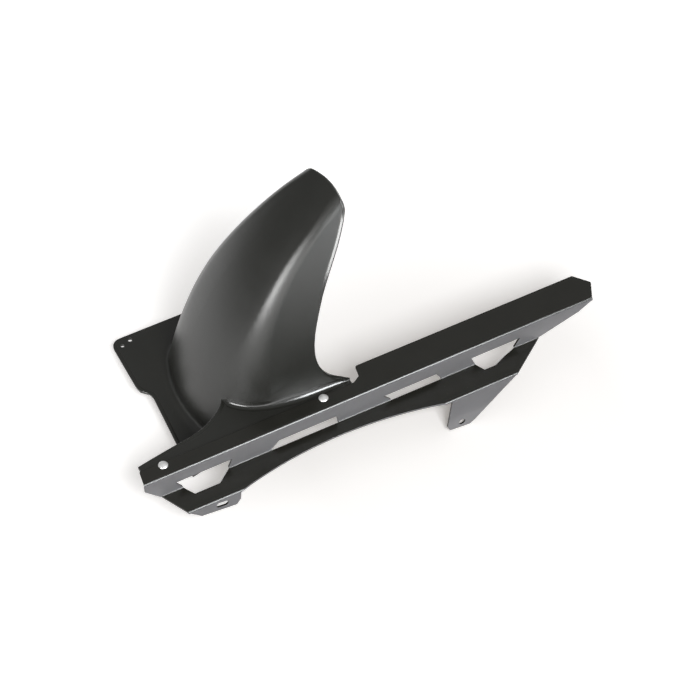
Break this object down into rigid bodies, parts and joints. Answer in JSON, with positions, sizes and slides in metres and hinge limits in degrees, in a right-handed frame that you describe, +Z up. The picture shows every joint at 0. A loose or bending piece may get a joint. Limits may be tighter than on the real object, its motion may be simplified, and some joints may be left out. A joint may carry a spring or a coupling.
{
  "type": "motorcycle rear fender",
  "caption": "Black rear wheel hugger: a moulded arch with a side ledge and front plate, riveted under the flange of a folded chain guard with mounting tabs.",
  "frame": {"origin": "centre of the round bolt hole in the rear tab, at the tab's outer face", "axes": "+X to the rear of the motorcycle along the guard, +Y across to the far side of the wheel, +Z up"},
  "size_m": [0.5061, 0.253, 0.2665],
  "materials": {
    "abs": "satin black moulding",
    "guard_paint": "smooth black paint on folded aluminium sheet",
    "rivet": "bright"
  },
  "bodies": {
    "root": {"fender_hood": "abs", "fender_skirt": "abs", "guard_flange": "guard_paint", "guard_strip": "guard_paint", "guard_web": "guard_paint", "guard_front_tab": "guard_paint", "guard_rear_tab": "guard_paint", "rivets": "rivet"}
  },
  "joints": []
}
